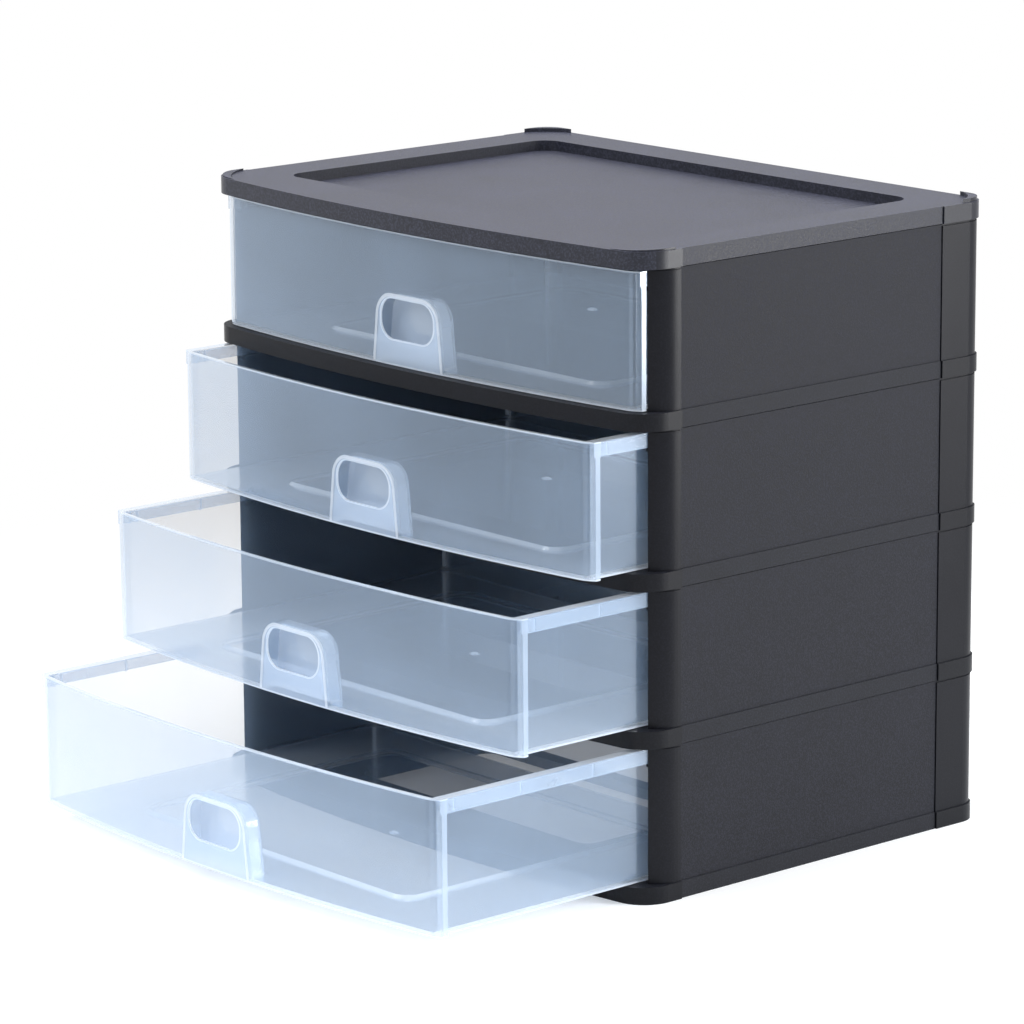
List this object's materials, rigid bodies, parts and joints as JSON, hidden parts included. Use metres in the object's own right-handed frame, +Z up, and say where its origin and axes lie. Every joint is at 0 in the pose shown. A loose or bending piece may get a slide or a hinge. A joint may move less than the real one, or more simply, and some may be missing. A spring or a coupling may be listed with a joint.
{
  "type": "letter tray stack with drawers",
  "caption": "Desk letter tray stack: a bowed dark plastic cabinet of tiers with a recessed top and clear pull-out drawers, each with a moulded finger pull.",
  "frame": {"origin": "middle of the base's footprint, on the surface that the stack stands on", "axes": "+Z up, +Y to the back, +X to the right as seen from the front; drawers open along -Y"},
  "size_m": [0.36, 0.3985, 0.3496],
  "materials": {
    "cover": "fine satin grain",
    "deck": "smooth satin",
    "side_panel": "fine satin grain",
    "back_panel": "satin",
    "drawer": "clear, slightly frosted"
  },
  "bodies": {
    "cabinet": {"top_cover": "cover", "shelf_deck_1": "deck", "shelf_deck_2": "deck", "shelf_deck_3": "deck", "base_deck": "deck", "side_panel_left_1": "side_panel", "side_panel_right_1": "side_panel", "side_panel_left_2": "side_panel", "side_panel_right_2": "side_panel", "side_panel_left_3": "side_panel", "side_panel_right_3": "side_panel", "side_panel_left_4": "side_panel", "side_panel_right_4": "side_panel", "back_panel_1": "back_panel", "back_panel_2": "back_panel", "back_panel_3": "back_panel", "back_panel_4": "back_panel"},
    "drawer_1": {"drawer_1": "drawer"},
    "drawer_2": {"drawer_2": "drawer"},
    "drawer_3": {"drawer_3": "drawer"},
    "drawer_4": {"drawer_4": "drawer"}
  },
  "joints": [
    {"name": "drawer_1_slide", "type": "slide", "parent": "cabinet", "child": "drawer_1", "axis": [0, -1, 0], "range_m": [0, 0.1825]},
    {"name": "drawer_2_slide", "type": "slide", "parent": "cabinet", "child": "drawer_2", "axis": [0, -1, 0], "range_m": [-0.032, 0.1505]},
    {"name": "drawer_3_slide", "type": "slide", "parent": "cabinet", "child": "drawer_3", "axis": [0, -1, 0], "range_m": [-0.082, 0.1005]},
    {"name": "drawer_4_slide", "type": "slide", "parent": "cabinet", "child": "drawer_4", "axis": [0, -1, 0], "range_m": [-0.137, 0.0455]}
  ]
}
